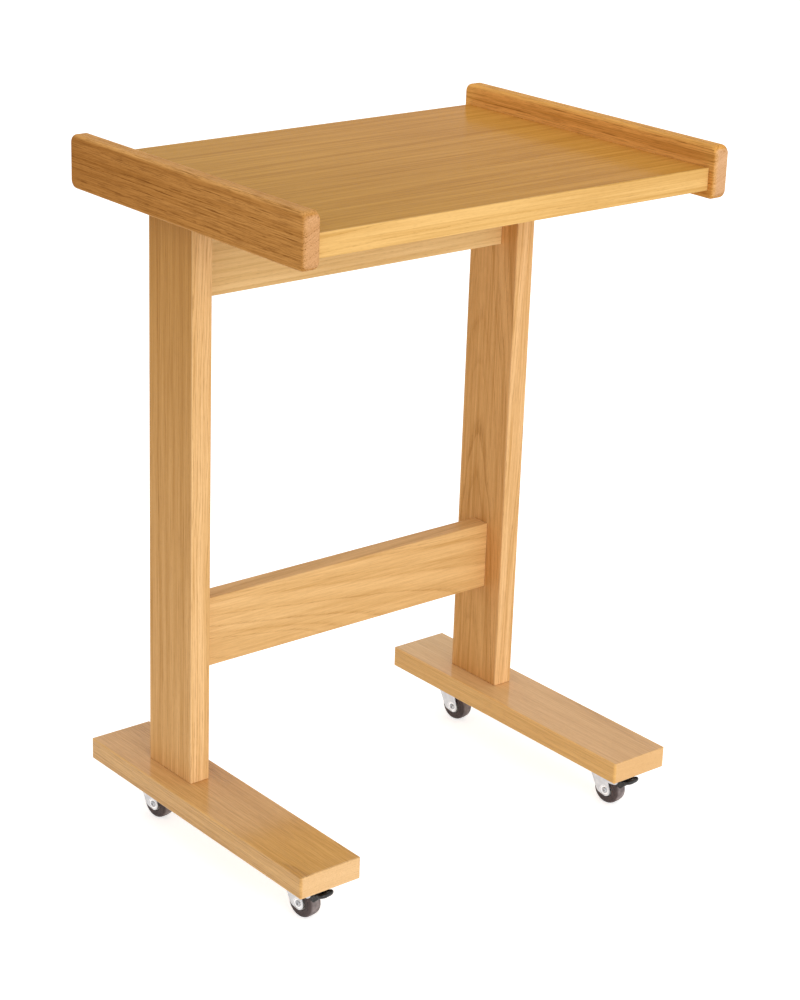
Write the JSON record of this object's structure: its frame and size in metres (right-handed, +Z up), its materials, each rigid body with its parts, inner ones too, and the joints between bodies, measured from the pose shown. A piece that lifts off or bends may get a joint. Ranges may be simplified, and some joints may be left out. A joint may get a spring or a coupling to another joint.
{
  "type": "side table",
  "caption": "Over-chair side table in oak with raised end rails, two posts set to the back, an apron, a stretcher and two long feet on swivel casters, the front ones with brake pedals.",
  "frame": {"origin": "on the floor, under the middle of the table: the bottom centre of its box", "axes": "+Z up, -Y towards the front, where the casters with brake pedals are and the posts are not, +X to the right as seen from the front"},
  "size_m": [0.57, 0.412, 0.792],
  "materials": {
    "oak": "clear satin varnish on straight-grained oak",
    "dark_oak": "clear satin varnish on open-pored, redder oak",
    "beech": "plain beech dowel",
    "steel": "zinc plated steel",
    "zinc": "bright zinc on pressed sheet steel",
    "grey_plastic": "light grey moulded plastic",
    "tyre_rubber": "dark grey-brown soft rubber",
    "black_plastic": "black moulded plastic, semi-gloss"
  },
  "bodies": {
    "table": {"tabletop": "oak", "left_end_rail": "dark_oak", "right_end_rail": "dark_oak", "left_post": "oak", "right_post": "oak", "apron": "oak", "stretcher": "oak", "left_foot": "oak", "right_foot": "oak", "rail_dowels": "beech", "post_top_dowels": "beech", "apron_dowels": "beech", "stretcher_dowels": "beech", "foot_dowels": "beech", "post_screws": "steel", "tabletop_screws": "steel", "caster_screws": "steel", "front_left_plate": "zinc", "front_left_kingpin": "steel", "front_left_balls": "steel", "front_right_plate": "zinc", "front_right_kingpin": "steel", "front_right_balls": "steel", "rear_left_plate": "zinc", "rear_left_kingpin": "steel", "rear_left_balls": "steel", "rear_right_plate": "zinc", "rear_right_kingpin": "steel", "rear_right_balls": "steel"},
    "front_left_caster": {"front_left_fork": "zinc", "front_left_axle": "steel", "front_left_brake_pin": "steel"},
    "front_left_wheel": {"front_left_wheel_core": "grey_plastic", "front_left_tyre": "tyre_rubber"},
    "front_left_brake": {"front_left_brake_pedal": "black_plastic"},
    "front_right_caster": {"front_right_fork": "zinc", "front_right_axle": "steel", "front_right_brake_pin": "steel"},
    "front_right_wheel": {"front_right_wheel_core": "grey_plastic", "front_right_tyre": "tyre_rubber"},
    "front_right_brake": {"front_right_brake_pedal": "black_plastic"},
    "rear_left_caster": {"rear_left_fork": "zinc", "rear_left_axle": "steel"},
    "rear_left_wheel": {"rear_left_wheel_core": "grey_plastic", "rear_left_tyre": "tyre_rubber"},
    "rear_right_caster": {"rear_right_fork": "zinc", "rear_right_axle": "steel"},
    "rear_right_wheel": {"rear_right_wheel_core": "grey_plastic", "rear_right_tyre": "tyre_rubber"}
  },
  "joints": [
    {"name": "front_left_swivel", "type": "hinge", "parent": "table", "child": "front_left_caster", "pos_m": [-0.2265, -0.135, 0.048], "axis": [0, 0, 1], "continuous": true},
    {"name": "front_left_roll", "type": "hinge", "parent": "front_left_caster", "child": "front_left_wheel", "pos_m": [-0.22427, -0.15084, 0.018], "axis": [0.9903, 0.1392, 0], "continuous": true},
    {"name": "front_left_brake_press", "type": "hinge", "parent": "front_left_caster", "child": "front_left_brake", "pos_m": [-0.22253, -0.16322, 0.037], "axis": [0.9903, 0.1392, 0], "range_deg": [0, 15]},
    {"name": "front_right_swivel", "type": "hinge", "parent": "table", "child": "front_right_caster", "pos_m": [0.2265, -0.135, 0.048], "axis": [0, 0, 1], "continuous": true},
    {"name": "front_right_roll", "type": "hinge", "parent": "front_right_caster", "child": "front_right_wheel", "pos_m": [0.22873, -0.15084, 0.018], "axis": [0.9903, 0.1392, 0], "continuous": true},
    {"name": "front_right_brake_press", "type": "hinge", "parent": "front_right_caster", "child": "front_right_brake", "pos_m": [0.23047, -0.16322, 0.037], "axis": [0.9903, 0.1392, 0], "range_deg": [0, 15]},
    {"name": "rear_left_swivel", "type": "hinge", "parent": "table", "child": "rear_left_caster", "pos_m": [-0.2265, 0.143, 0.048], "axis": [0, 0, 1], "continuous": true},
    {"name": "rear_left_roll", "type": "hinge", "parent": "rear_left_caster", "child": "rear_left_wheel", "pos_m": [-0.22427, 0.12716, 0.018], "axis": [0.9903, 0.1392, 0], "continuous": true},
    {"name": "rear_right_swivel", "type": "hinge", "parent": "table", "child": "rear_right_caster", "pos_m": [0.2265, 0.143, 0.048], "axis": [0, 0, 1], "continuous": true},
    {"name": "rear_right_roll", "type": "hinge", "parent": "rear_right_caster", "child": "rear_right_wheel", "pos_m": [0.22873, 0.12716, 0.018], "axis": [0.9903, 0.1392, 0], "continuous": true}
  ]
}
